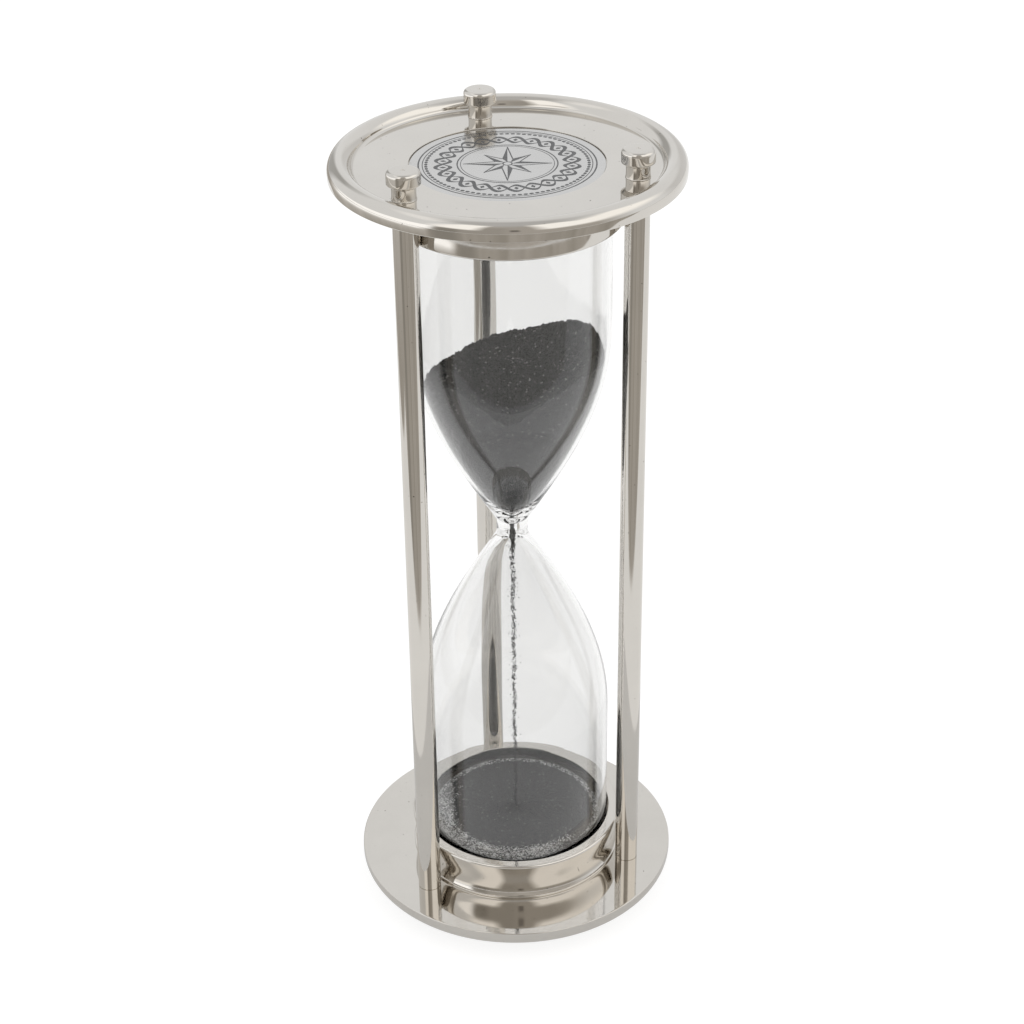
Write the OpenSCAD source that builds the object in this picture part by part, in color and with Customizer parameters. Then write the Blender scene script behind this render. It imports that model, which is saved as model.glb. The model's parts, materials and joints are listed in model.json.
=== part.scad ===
// Sand timer: a blown double bulb held between two turned plates on three posts.
// +Z is up and the origin is on the axis, on the surface that the three foot nuts stand on.
// The timer works either way up, so every metal piece at the top has a mirrored twin below.

/* [Plates] */
// Outer radius of the two round plates
plate_r = 38.1; // [36:0.1:42]
// Distance between the inner faces of the plates
plate_gap = 176.6; // [170:0.2:190]
// Thickness of the flat middle of a plate
web_t = 1.8; // [1.6:0.1:2]
// Height of the raised bead, from the inner face to its crest
bead_h = 4.0; // [3.9:0.1:4.4]
// Radius of the bead's round top
bead_round_r = 2.6; // [2.4:0.1:2.7]
// Angle around the bead's round top where the inner fillet takes over
bead_turn = 158; // [152:1:160]

/* [Posts] */
// Radius of a post
post_r = 2.7; // [2.5:0.05:3]
// Radius of the circle that the posts stand on
post_circle_r = 28.4; // [28.2:0.1:29]
// Direction of the first post, anticlockwise from +X
post_turn = 222; // [0:1:360]
// Radius of the threaded stud on each end of a post
stud_r = 1.5; // [1.4:0.05:1.6]
// Length of a stud beyond the plate, inside its nut
stud_grip = 3.8; // [3.4:0.1:4]
// Radius of the holes for the studs in the plates
stud_hole_r = 1.6; // [1.55:0.05:1.8]

/* [Finial nuts] */
// Radius of the head of a finial nut
head_r = 3.6; // [3.4:0.1:4]
// Radius of the neck of a finial nut
neck_r = 2.7; // [2.6:0.05:2.9]
// Height of the neck, from the plate to the head
neck_h = 2.85; // [2.6:0.05:3.2]
// Height of the head
head_h = 3.35; // [3.2:0.05:3.6]
// Radial clearance between a nut and its stud
thread_gap = 0.05; // [0.02:0.01:0.1]
// Depth of the blind hole in a nut
nut_bore_h = 4.2; // [4.1:0.1:4.6]

/* [Collars] */
// Outer radius of the collar's rim
collar_r = 25.3; // [25:0.1:25.4]
// Inner radius of the collar
collar_bore_r = 22.9; // [22.8:0.1:23.4]
// Height of the collar off the plate
collar_h = 9.7; // [9:0.1:10.5]
// How far the lower handle of the collar's hollow curve is pulled in
collar_waist = 1.8; // [1.2:0.1:2]

/* [Glass] */
// Outer radius of the straight part of a bulb
glass_r = 22.5; // [21.5:0.1:22.7]
// Thickness of the glass wall, away from the neck
glass_wall = 1.0; // [0.8:0.1:1.4]
// Outer radius of the neck between the bulbs
glass_neck_r = 3.6; // [3.2:0.1:4]
// Radius of the hole that the sand runs through
glass_bore_r = 0.7; // [0.6:0.05:1]
// Half of the length of the neck
glass_neck_half = 2.0; // [1.5:0.1:3]
// Length of the taper from the neck to the straight part
glass_taper = 48; // [44:0.5:52]
// Outer radius of the rounded heel at the closed end of a bulb
glass_heel_r = 8; // [7:0.5:9]
// Inner radius of the lower heel, where the glass has gathered and is thicker
glass_gathered_r = 9; // [8.5:0.5:12]
// Distance from the neck over which the wall thins out
glass_gather = 3; // [2:0.5:4]
// How far the hand-worked neck sits above the middle
glass_neck_rise = 1.6; // [0:0.1:2]
// Thickness of the felt discs that the glass is clamped between
felt_t = 1.6; // [1.4:0.1:2]

/* [Sand] */
// Height of the sand lying in the lower bulb, above the lower plate's inner face
sand_low_h = 8.4; // [7:0.1:12]
// Height of the sand against the upper bulb's wall, above the same face
sand_high_h = 131; // [120:1:138]
// Angle of the slope that the dry sand stands at
sand_slope = 31; // [28:1:34]
// Gap between the sand and the glass, so that the two solids never cross
sand_gap = 0.1; // [0.05:0.05:0.2]
// Radius of the falling stream
stream_r = 0.45; // [0.3:0.05:0.5]

/* [Medallion] */
// Radius of the round medallion in the upper plate
medal_r = 20.8; // [20:0.1:21.4]
// Thickness of the medallion
medal_t = 0.35; // [0.3:0.05:0.4]
// Depth of the recess that the medallion lies in
medal_recess = 0.6; // [0.5:0.05:0.7]
// Depth of the black-filled engraving
engrave_h = 0.12; // [0.1:0.01:0.15]

/* [Hidden] */
$fn = 96;

// Heights of the main faces
finial_h = neck_h + head_h;
low_face_z = finial_h + web_t;
high_face_z = low_face_z + plate_gap;
total_h = high_face_z + web_t + finial_h;
glass_mid_z = low_face_z + plate_gap / 2 + glass_neck_rise;

// Where the bead's round top hands over to the fillet, and the fillet's own size
bead_mid_r = plate_r - bead_round_r;
bead_mid_h = bead_h - bead_round_r;
bead_cut_r = bead_mid_r + bead_round_r * cos(bead_turn);
bead_cut_h = bead_mid_h + bead_round_r * sin(bead_turn);
bead_cut_slope = bead_turn - 90;
fillet_r = (bead_cut_h - web_t) / (1 - cos(bead_cut_slope));
floor_r = bead_cut_r - fillet_r * sin(bead_cut_slope);

// Small turned details
edge_break = 0.25;
head_chamfer = 0.6;
head_round = 0.9;
dimple_r = 0.4;
dimple_h = 0.2;
neck_waist = 0.12;
neck_land = 0.35;
flange_h = 0.55;
flange_step = 0.4;
rim_round = 0.5;
medal_gap = 0.1;
felt_gap = 0.2;
stream_sink = 0.3;

// Steps along the curved stretches of a turned profile
arc_steps = 8;
taper_steps = 18;
taper_crowding = 1.6;

// The engraved figure, from the outside in
ring_outer_r = 18.8;
ring_gap = 0.8;
ring_line = 0.28;
rope_r = 17.2;
rope_tooth = 0.55;
rope_teeth = 48;
braid_r = 13.9;
braid_swing = 1.5;
braid_line = 0.9;
braid_waves = 12;
steps_a_wave = 12;
rose_ring_r = 10.6;
rose_long_r = 8.9;
rose_short_r = 5.8;
rose_hollow_r = 2.3;
rose_eye_r = 1.1;

// ---- helpers -------------------------------------------------------------------------

// Points on a circle of radius r around (x, y), from angle a to angle b
function arc_points(x, y, r, a, b, steps) =
    [for (i = [0:steps]) let (t = a + (b - a) * i / steps) [x + r * cos(t), y + r * sin(t)]];

// Points on a Bezier curve from a to d, with the handles b and c
function bezier_points(a, b, c, d, steps) =
    [for (i = [0:steps]) let (t = i / steps, u = 1 - t)
        u * u * u * a + 3 * t * u * u * b + 3 * t * t * u * c + t * t * t * d];

// Outer radius of a bulb at a distance d from the middle of the neck: it opens along a
// quarter of a sine wave
function outer_r(d) =
    let (t = min(max((d - glass_neck_half) / glass_taper, 0), 1))
    glass_neck_r + (glass_r - glass_neck_r) * sin(90 * t);

// Inner radius there: the wall is thick at the neck and thins out quickly
function inner_r(d) =
    let (extra = glass_neck_r - glass_bore_r - glass_wall)
    outer_r(d) - glass_wall - extra * exp(-max(d - glass_neck_half, 0) / glass_gather);

// Distances from the neck at which the taper is sampled, up to a given distance; they crowd
// at the neck, where the wall changes most
function taper_distances(reach) =
    [for (i = [0:taper_steps])
        glass_neck_half + (reach - glass_neck_half) * pow(i / taper_steps, taper_crowding)];

// Turns things over, so that what stands on the lower plate hangs from the upper one
module at_top() {
    translate([0, 0, total_h]) mirror([0, 0, 1]) children();
}

// Moves things out to one of the three posts, counted from 0
module at_post(i) {
    rotate([0, 0, post_turn + 120 * i]) translate([post_circle_r, 0, 0]) children();
}

// ---- plates --------------------------------------------------------------------------

// One plate with its flat face up at z = 0 and its bead hanging below
module plate() {
    difference() {
        rotate_extrude() polygon(concat(
            [[0, 0], [plate_r - edge_break, 0], [plate_r, -edge_break]],
            arc_points(bead_mid_r, -bead_mid_h, bead_round_r, 0, -bead_turn, 3 * arc_steps),
            arc_points(floor_r, -web_t - fillet_r, fillet_r, 90 - bead_cut_slope, 90, arc_steps),
            [[0, -web_t]]));
        for (i = [0:2])
            at_post(i) translate([0, 0, -web_t - 1]) cylinder(r = stud_hole_r, h = web_t + 2);
    }
}

module bottom_plate() {
    color([0.82, 0.80, 0.76]) translate([0, 0, low_face_z]) plate();
}

module top_plate() {
    color([0.82, 0.80, 0.76]) difference() {
        at_top() translate([0, 0, low_face_z]) plate();
        translate([0, 0, high_face_z + web_t - medal_recess])
            cylinder(r = medal_r + medal_gap, h = medal_recess + 1);
    }
}

// ---- collars -------------------------------------------------------------------------

// A hollow-sided ring on a thin foot flange, flaring to a rounded rim, standing on z = 0
module collar() {
    rotate_extrude() polygon(concat(
        [[collar_bore_r, 0], [collar_r, 0], [collar_r, flange_h]],
        bezier_points([collar_r - flange_step, flange_h], [collar_r - collar_waist, 0.29 * collar_h],
                      [collar_r - 0.1, 0.58 * collar_h], [collar_r, collar_h - rim_round],
                      2 * arc_steps),
        arc_points(collar_r - rim_round, collar_h - rim_round, rim_round, 0, 90, arc_steps),
        [[collar_bore_r + edge_break, collar_h], [collar_bore_r, collar_h - edge_break]]));
}

module bottom_collar() {
    color([0.82, 0.80, 0.76]) translate([0, 0, low_face_z]) collar();
}

module top_collar() {
    color([0.82, 0.80, 0.76]) at_top() translate([0, 0, low_face_z]) collar();
}

// ---- posts and nuts ------------------------------------------------------------------

// A plain rod between the plates, with a stud through the plate at each end
module post(i) {
    color([0.80, 0.78, 0.74]) at_post(i) {
        translate([0, 0, low_face_z]) cylinder(r = post_r, h = plate_gap);
        translate([0, 0, low_face_z - web_t - stud_grip])
            cylinder(r = stud_r, h = plate_gap + 2 * (web_t + stud_grip));
    }
}

module post_left() {
    post(0);
}

module post_right() {
    post(1);
}

module post_rear() {
    post(2);
}

// A finial nut with its neck on z = 0 and its head up: waisted neck, chamfered head with a
// rounded top edge, the lathe's centre dimple, and the blind hole for the stud
module finial() {
    difference() {
        rotate_extrude() polygon(concat(
            [[0, 0], [neck_r, 0], [neck_r, neck_land]],
            [[neck_r - neck_waist, neck_h / 2], [neck_r, neck_h - neck_land]],
            [[neck_r + edge_break, neck_h], [head_r, neck_h + head_chamfer]],
            arc_points(head_r - head_round, finial_h - head_round, head_round, 0, 90, arc_steps),
            [[dimple_r, finial_h], [0, finial_h - dimple_h]]));
        translate([0, 0, -1]) cylinder(r = stud_r + thread_gap, h = nut_bore_h + 1);
    }
}

// A nut under the lower plate, which is also a foot
module finial_foot(i) {
    color([0.84, 0.82, 0.78]) at_post(i) translate([0, 0, finial_h]) mirror([0, 0, 1]) finial();
}

// A nut on top of the upper plate
module finial_top(i) {
    color([0.84, 0.82, 0.78]) at_post(i) translate([0, 0, total_h - finial_h]) finial();
}

module finial_foot_left() {
    finial_foot(0);
}

module finial_foot_right() {
    finial_foot(1);
}

module finial_foot_rear() {
    finial_foot(2);
}

module finial_top_left() {
    finial_top(0);
}

module finial_top_right() {
    finial_top(1);
}

module finial_top_rear() {
    finial_top(2);
}

// ---- glass and its felt discs --------------------------------------------------------

taper_end = glass_neck_half + glass_taper;

// Half of the outer profile, from the neck out to the closed end at a distance of reach
function outer_half(reach) = concat(
    [for (d = taper_distances(taper_end)) [outer_r(d), d]],
    arc_points(glass_r - glass_heel_r, reach - glass_heel_r, glass_heel_r, 0, 90,
               2 * arc_steps));

// The same for the inner profile, with its own heel
function inner_half(reach, heel) = concat(
    [for (d = taper_distances(taper_end)) [inner_r(d), d]],
    arc_points(inner_r(taper_end) - heel, reach - heel, heel, 0, 90, 2 * arc_steps));

// A whole profile, from one half for the bulb above and one for the bulb below
function whole_profile(high, low) = concat(
    [[0, high[len(high) - 1][1]]],
    [for (i = [len(high) - 1:-1:0]) high[i]],
    [for (p = low) [p[0], -p[1]]],
    [[0, -low[len(low) - 1][1]]]);

up_reach = high_face_z - felt_t - glass_mid_z;
down_reach = glass_mid_z - low_face_z - felt_t;

module glass_bulb() {
    color([0.85, 0.90, 0.90, 0.35]) translate([0, 0, glass_mid_z]) difference() {
        rotate_extrude() polygon(whole_profile(outer_half(up_reach), outer_half(down_reach)));
        rotate_extrude()
            polygon(whole_profile(inner_half(up_reach - glass_wall, glass_heel_r - glass_wall),
                                  inner_half(down_reach - glass_wall, glass_gathered_r)));
    }
}

// A round felt disc that the closed end of a bulb sits on
module felt() {
    cylinder(r = collar_bore_r - felt_gap, h = felt_t);
}

module bottom_felt() {
    color([0.35, 0.33, 0.30]) translate([0, 0, low_face_z]) felt();
}

module top_felt() {
    color([0.35, 0.33, 0.30]) at_top() translate([0, 0, low_face_z]) felt();
}

// ---- medallion -----------------------------------------------------------------------

// A thin ring drawn in the plane
module flat_ring(outer, width) {
    difference() {
        circle(r = outer);
        circle(r = outer - width);
    }
}

// An eight-pointed compass rose with an open eye
module compass_rose() {
    point_turn = 360 / 16;
    difference() {
        polygon([for (i = [0:15])
            let (r = i % 2 == 1 ? rose_hollow_r : (i % 4 == 0 ? rose_long_r : rose_short_r))
            [r * cos(90 + i * point_turn), r * sin(90 + i * point_turn)]]);
        circle(r = rose_eye_r, $fn = 32);
    }
}

// A ring of small teeth, like a turned rope border
module rope_ring() {
    difference() {
        polygon([for (i = [0:2 * rope_teeth - 1])
            let (r = rope_r - (i % 2) * rope_tooth)
            [r * cos(i * 180 / rope_teeth), r * sin(i * 180 / rope_teeth)]]);
        circle(r = rope_r - rope_tooth - ring_line);
    }
}

// A closed wave around the centre, at a distance from the middle line of the braid
function wave_points(shift, off) =
    [for (i = [0:braid_waves * steps_a_wave - 1])
        let (a = 360 * i / (braid_waves * steps_a_wave))
        let (r = braid_r + braid_swing * cos(braid_waves * a + shift) + off)
        [r * cos(a), r * sin(a)]];

// Two wavy strands that cross each other all the way round
module braid_ring() {
    for (shift = [0, 180])
        difference() {
            polygon(wave_points(shift, braid_line / 2));
            polygon(wave_points(shift, -braid_line / 2));
        }
}

// Everything that is engraved
module emblem_figure() {
    flat_ring(ring_outer_r, ring_line);
    flat_ring(ring_outer_r - ring_gap, ring_line);
    rope_ring();
    braid_ring();
    flat_ring(rose_ring_r, ring_line);
    compass_rose();
}

medal_z = high_face_z + web_t - medal_recess;

module medallion() {
    color([0.83, 0.83, 0.82]) difference() {
        translate([0, 0, medal_z]) cylinder(r = medal_r, h = medal_t);
        translate([0, 0, medal_z + medal_t - engrave_h]) linear_extrude(1) emblem_figure();
    }
}

module emblem_inlay() {
    color([0.12, 0.12, 0.12])
        translate([0, 0, medal_z + medal_t - engrave_h]) linear_extrude(engrave_h) emblem_figure();
}

// ---- sand ----------------------------------------------------------------------------

// The upper sand fills the taper, and its crater falls to the axis at the sand's own slope
module sand_upper() {
    top = sand_high_h + low_face_z - glass_mid_z;
    wall_r = inner_r(top) - sand_gap;
    color([0.27, 0.27, 0.27]) translate([0, 0, glass_mid_z]) rotate_extrude()
        polygon(concat(
            [[0, glass_neck_half]],
            [for (d = taper_distances(top)) [inner_r(d) - sand_gap, d]],
            [[0, top - wall_r * tan(sand_slope)]]));
}

// The stream falls from the neck to the sand below
module sand_stream() {
    foot_z = low_face_z + sand_low_h + stream_sink;
    color([0.27, 0.27, 0.27]) translate([0, 0, foot_z])
        cylinder(r = stream_r, h = glass_mid_z + glass_neck_half - sand_gap - foot_z, $fn = 32);
}

// The lower sand lies level in the rounded end of the lower bulb
module sand_lower() {
    floor_z = felt_t + glass_wall + sand_gap;
    heel_top = felt_t + glass_wall + glass_gathered_r;
    heel_fill_r = glass_gathered_r - sand_gap;
    fill_angle = asin(max(heel_top - sand_low_h, 0) / heel_fill_r);
    color([0.27, 0.27, 0.27]) translate([0, 0, low_face_z]) rotate_extrude()
        polygon(concat(
            [[0, floor_z]],
            arc_points(glass_r - glass_wall - glass_gathered_r, heel_top, heel_fill_r,
                       -90, -fill_angle, arc_steps),
            [[0, sand_low_h]]));
}

bottom_plate();
top_plate();
bottom_collar();
top_collar();
post_left();
post_right();
post_rear();
finial_top_left();
finial_top_right();
finial_top_rear();
finial_foot_left();
finial_foot_right();
finial_foot_rear();
glass_bulb();
bottom_felt();
top_felt();
medallion();
emblem_inlay();
sand_upper();
sand_stream();
sand_lower();
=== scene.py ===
# %% [markdown]
# # A sand timer in polished nickel
# The timer is a clear glass double bulb, clamped between two round plates by three posts.
# The frame file holds every piece in its true place and size. This lesson loads it, makes a
# finer surface for each piece, gives each one its finish, and sets the studio around it.
# All lengths below are in millimetres, and the last step of each mesh turns them into metres.

# %% Load the frame
import json
import math

import bpy
import numpy as np
from mathutils import Matrix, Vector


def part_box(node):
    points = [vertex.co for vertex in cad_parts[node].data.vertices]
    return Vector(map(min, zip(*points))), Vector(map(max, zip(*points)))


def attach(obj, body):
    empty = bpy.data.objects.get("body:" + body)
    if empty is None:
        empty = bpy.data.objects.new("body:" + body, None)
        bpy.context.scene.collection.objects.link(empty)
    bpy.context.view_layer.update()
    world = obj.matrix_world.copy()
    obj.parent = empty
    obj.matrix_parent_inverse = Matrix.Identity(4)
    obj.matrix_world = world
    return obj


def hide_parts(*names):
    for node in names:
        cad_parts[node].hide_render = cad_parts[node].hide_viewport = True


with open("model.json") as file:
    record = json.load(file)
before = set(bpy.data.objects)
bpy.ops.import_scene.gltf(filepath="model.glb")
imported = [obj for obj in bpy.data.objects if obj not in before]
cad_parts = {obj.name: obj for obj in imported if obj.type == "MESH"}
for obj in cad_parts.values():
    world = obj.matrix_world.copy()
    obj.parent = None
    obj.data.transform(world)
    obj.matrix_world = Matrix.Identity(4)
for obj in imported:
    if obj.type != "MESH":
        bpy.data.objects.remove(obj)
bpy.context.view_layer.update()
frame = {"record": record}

mm = 0.001

# %% [markdown]
# ## Read the main sizes from the frame
# A turned object is known by a few radii and heights. They are read from the boxes of the
# loaded nodes, so the finer surfaces always fit the frame, even after its sizes change.


# %% Main sizes
def corners(node):
    """Lowest and highest corner of a node, in millimetres."""
    low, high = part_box(node)
    return np.array(low) / mm, np.array(high) / mm


def reach(node):
    """Radius of a node centred on the timer's axis: half of its widest side."""
    low, high = corners(node)
    return float((high - low)[:2].max() / 2)


def stand(node):
    """Where the axis of an upright node stands: the middle of its box."""
    low, high = corners(node)
    return ((low + high) / 2)[:2]


low_face = corners("bottom_plate")[1][2]
high_face = corners("top_plate")[0][2]
total_h = corners("finial_top_rear")[1][2]
plate_r = reach("bottom_plate")
collar_r = reach("bottom_collar")
glass_r = reach("glass_bulb")
neck_half = 2.0
neck_z = corners("sand_upper")[0][2] - neck_half
places = {side: stand("post_" + side) for side in ("left", "right", "rear")}
print(f"plate faces at {low_face:.2f} and {high_face:.2f}, neck at {neck_z:.2f}")
print(f"radii: plate {plate_r:.2f}, collar {collar_r:.2f}, glass {glass_r:.2f}")

# %% [markdown]
# ## Put the camera where the eye is
# The timer is seen from above and in front, as it stands on a table. A lens of about 80 mm
# keeps the posts almost parallel. The camera is made first, so that each piece can be
# judged from it as soon as it is made.

# %% Camera
scene = bpy.context.scene
pitch, roll = math.radians(-30.44), math.radians(-0.74)
ahead = np.array([0.0, math.cos(pitch), math.sin(pitch)])
level = np.array([1.0, 0.0, 0.0])
upright = np.cross(level, ahead)
turn = np.eye(4)
turn[:3, 0] = level * math.cos(roll) + upright * math.sin(roll)
turn[:3, 1] = upright * math.cos(roll) - level * math.sin(roll)
turn[:3, 2] = -ahead
turn[:3, 3] = np.array([0.0, -449.1, 365.0]) * mm
eye = bpy.data.objects.new("eye", bpy.data.cameras.new("eye"))
scene.collection.objects.link(eye)
eye.matrix_world = Matrix(turn.tolist())
eye.data.sensor_width = 36.0
eye.data.lens = 79.84
eye.data.clip_start, eye.data.clip_end = 0.01, 20.0
scene.camera = eye
print("camera at", [round(v * 1000) for v in turn[:3, 3]], "mm")

# %% [markdown]
# ## Turn a grid of points into a mesh
# Most pieces here are turned on a lathe or blown round an axis. Such a surface is a grid:
# one row for each point of the profile, one column for each step round the axis. A row that
# shrinks to one point is a pole, and its quads become triangles that share that point, so
# the surface is closed. Rows run outwards underneath, up the outside and back inwards on
# top, which makes every face point outwards.


# %% Grid helpers
def stitch(grid, loop=False):
    """Points, quads and triangles of a grid that closes round its columns. With loop, the
    last row also joins the first. Rows whose points coincide are merged to one point."""
    rows, cols = grid.shape[:2]
    index = np.arange(rows * cols).reshape(rows, cols)
    for end in (0, -1):
        if not loop and np.ptp(grid[end], axis=0).max() < 1e-9:
            index[end] = index[end, 0]
    if loop:
        index = np.vstack([index, index[:1]])
    low, high = index[:-1], index[1:]
    quads = np.stack([low, np.roll(low, -1, 1), np.roll(high, -1, 1), high], -1)
    used, quads = np.unique(quads.reshape(-1), return_inverse=True)
    quads = quads.reshape(-1, 4)
    at_start, at_end = quads[:, 0] == quads[:, 1], quads[:, 2] == quads[:, 3]
    tris = np.concatenate([quads[at_start][:, [0, 2, 3]], quads[at_end][:, [0, 1, 2]]])
    return grid.reshape(-1, 3)[used], quads[~(at_start | at_end)], tris


def turned(profile, steps, axis=(0.0, 0.0)):
    """Grid of a profile turned about an upright axis: (x + r cos a, y + r sin a, z)."""
    a = np.linspace(0, 2 * np.pi, steps, endpoint=False)
    r, z = profile[:, :1], profile[:, 1:]
    return np.stack([axis[0] + r * np.cos(a), axis[1] + r * np.sin(a), z + 0 * a], -1)


def arc(middle, size, start, stop, steps):
    """Profile points on an ellipse: middle + (width cos t, height sin t), t in degrees."""
    t = np.radians(np.linspace(start, stop, steps + 1))
    return np.stack([middle[0] + size[0] * np.cos(t), middle[1] + size[1] * np.sin(t)], 1)


def run(start, stop, steps):
    """A straight run whose points crowd at both ends: share (1 - cos of half a turn) / 2."""
    share = (1 - np.cos(np.linspace(0, np.pi, steps + 1)))[:, None] / 2
    return np.array(start) + (np.array(stop) - np.array(start)) * share


def joined(*runs):
    """One profile from several runs, without the points that repeat at their joints."""
    profile = np.concatenate(runs)
    apart = np.abs(np.diff(profile, axis=0)).max(1) > 1e-6
    return profile[np.concatenate([[True], apart])]


def turned_over(profile):
    """The same profile hung from the top: heights mirrored, order reversed to match."""
    return np.stack([profile[::-1, 0], total_h - profile[::-1, 1]], 1)


print("a test ring has", len(stitch(turned(arc((5, 0), (1, 1), 0, 330, 11), 24), True)[1]), "quads")

# %% [markdown]
# ## Make a piece from its surfaces
# Each piece stands for one node of the frame: it rides on the same body, so it moves when
# that body moves. Faces are smooth, except across edges
# sharper than a third of a right angle, which keep a crisp line.

# %% Piece helper
bodies = frame["record"]["behaviour"]["bodies"]
home = {node: body for body, nodes in bodies.items() for node in nodes}


def fill_mesh(name, surfaces):
    """A mesh from a list of (points, quads, triangles), written as whole arrays."""
    starts = np.cumsum([0] + [len(points) for points, _, _ in surfaces])
    points = np.concatenate([points for points, _, _ in surfaces]) * mm
    quads = np.concatenate([q + s for (_, q, _), s in zip(surfaces, starts)]).reshape(-1)
    tris = np.concatenate([t + s for (_, _, t), s in zip(surfaces, starts)]).reshape(-1)
    first = np.concatenate([np.arange(0, len(quads), 4), len(quads) + np.arange(0, len(tris), 3)])
    mesh = bpy.data.meshes.new(name)
    mesh.vertices.add(len(points))
    mesh.vertices.foreach_set("co", points.astype(np.float32).ravel())
    mesh.loops.add(len(quads) + len(tris))
    mesh.loops.foreach_set("vertex_index", np.concatenate([quads, tris]).astype(np.int32))
    mesh.polygons.add(len(first))
    mesh.polygons.foreach_set("loop_start", first.astype(np.int32))
    mesh.update(calc_edges=True)
    return mesh


def make_piece(name, node, finish, surfaces, crease=30):
    """Links a new piece that replaces one node and rides on that node's body."""
    mesh = fill_mesh(name, surfaces)
    mesh.polygons.foreach_set("use_smooth", np.ones(len(mesh.polygons), bool))
    mesh.set_sharp_from_angle(angle=math.radians(crease))
    mesh.materials.append(finish)
    piece = bpy.data.objects.new(name, mesh)
    scene.collection.objects.link(piece)
    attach(piece, home[node])
    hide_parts(node)
    print(f"{name}: {len(mesh.vertices)} points, {len(mesh.polygons)} faces")
    return piece


# %% [markdown]
# ## Build finishes from small steps
# A finish is a Principled shader with nodes in front of it. Numbers that hold all over a
# surface are set on the shader's own sockets. What varies, such as a stain, a polishing
# mark or a speck, comes from noise in the object's own coordinates, so it stays on the
# piece from every side.


# %% Finish helpers
def new_finish(name, constants):
    """A material with a Principled shader, and its constants set on the shader's sockets."""
    finish = bpy.data.materials.new(name)
    finish.use_nodes = True
    shader = finish.node_tree.nodes["Principled BSDF"]
    for socket, value in constants.items():
        shader.inputs[socket].default_value = value
    return finish, shader


def add_step(tree, kind, inputs=(), **settings):
    """One more node. Each input takes another node's output or a plain value."""
    made = tree.nodes.new("ShaderNode" + kind)
    for key, value in settings.items():
        setattr(made, key, value)
    for socket, value in dict(inputs).items():
        if isinstance(value, bpy.types.NodeSocket):
            tree.links.new(value, made.inputs[socket])
        else:
            made.inputs[socket].default_value = value
    return made


def places_on(tree, stretch=(1, 1, 1)):
    """The object's own coordinates, stretched for a grain that runs one way."""
    spot = add_step(tree, "TexCoord").outputs["Object"]
    return add_step(tree, "Mapping", {"Vector": spot, "Scale": stretch}).outputs["Vector"]


def cloud(tree, spot, per_metre, detail=2.0, rough=0.5):
    """Soft noise from 0 to 1, with this many blobs to the metre."""
    sizes = {"Vector": spot, "Scale": per_metre, "Detail": detail, "Roughness": rough}
    return add_step(tree, "TexNoise", sizes).outputs["Fac"]


def spread(tree, value, low, high, to_low, to_high):
    """Moves values between low and high to between to_low and to_high, held at the ends."""
    sizes = {0: value, 1: low, 2: high, 3: to_low, 4: to_high}
    return add_step(tree, "MapRange", sizes).outputs[0]


def two_tone(tree, share, one, other):
    """Colour that passes from one to the other as share goes from 0 to 1."""
    mix = add_step(tree, "Mix", {0: share, 6: one, 7: other}, data_type="RGBA")
    return mix.outputs[2]


def dent(tree, height, depth, before=None):
    """A bump of this depth in metres, on top of an earlier bump where there is one."""
    inputs = {"Height": height, "Distance": depth, "Strength": 1.0}
    if before is not None:
        inputs["Normal"] = before
    return add_step(tree, "Bump", inputs).outputs["Normal"]


def plug(finish, shader, sockets):
    """Links outputs to the shader's sockets by name."""
    for socket, output in sockets.items():
        finish.node_tree.links.new(output, shader.inputs[socket])


# %% [markdown]
# ## Nickel plate
# The metal parts are brass under bright nickel. Nickel reflects about two thirds of the
# light, with a faint warm cast. Polishing leaves it almost like a mirror, but under a lamp
# one sees a slight unevenness, hairline marks along the direction of the mop, and a few
# dark pits and dust specks. The posts are drawn rods, so their marks run upright; on the
# turned parts they have no direction.


# %% Nickel finishes
def nickel(name, tint, stretch, haze, wave):
    """Warm mirror metal. Haze is its roughness, wave the depth of its unevenness in mm."""
    finish, shader = new_finish(name, {"Metallic": 1.0, "IOR": 1.6})
    tree = finish.node_tree
    spot = places_on(tree)
    grain = places_on(tree, stretch)
    stain = spread(tree, cloud(tree, spot, 60, 4, 0.6), 0.35, 0.7, 0.0, 1.0)
    pits = spread(tree, cloud(tree, spot, 1300, 1), 0.785, 0.80, 0.0, 1.0)
    dull = [c * 0.95 for c in tint]
    metal = two_tone(tree, stain, (*tint, 1), (*dull, 1))
    colour = two_tone(tree, pits, metal, (0.10, 0.09, 0.08, 1))
    marks = cloud(tree, grain, 900, 6, 0.7)
    rough = spread(tree, marks, 0.35, 0.75, haze * 0.6, haze * 1.6)
    shape = dent(tree, cloud(tree, grain, 110, 2), wave * mm)
    shape = dent(tree, marks, 0.0006 * mm, shape)
    plug(finish, shader, {"Base Color": colour, "Roughness": rough, "Normal": shape})
    return finish


warm = (0.66, 0.632, 0.59)
turned_nickel = nickel("turned_nickel", warm, (1, 1, 1), 0.055, 0.012)
mopped_nickel = nickel("mopped_nickel", warm, (1, 1, 1), 0.09, 0.035)
drawn_nickel = nickel("drawn_nickel", warm, (1, 1, 0.02), 0.07, 0.012)
print("finishes:", turned_nickel.name, mopped_nickel.name, drawn_nickel.name)

# %% [markdown]
# ## The two plates
# Both plates are the same pressed and turned disc: flat on the side that meets the bulb, and
# on the other side a shallow floor inside a fat round bead. A hard round edge would look
# machine cut, so the corner at the flat face keeps a small round of 0.15 mm. The
# upper plate has a shallow pocket in its floor for the medallion.

# %% Plate profile
web_t = low_face - corners("finial_foot_rear")[1][2]
bead_h = low_face - corners("bottom_plate")[0][2]
bead_round_r, bead_turn = 2.6, 158.0
medal_r = reach("medallion")
plate_floor = corners("top_plate")[1][2] - bead_h + web_t
pocket_r, pocket_h = medal_r + 0.12, plate_floor - corners("medallion")[0][2]


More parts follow.
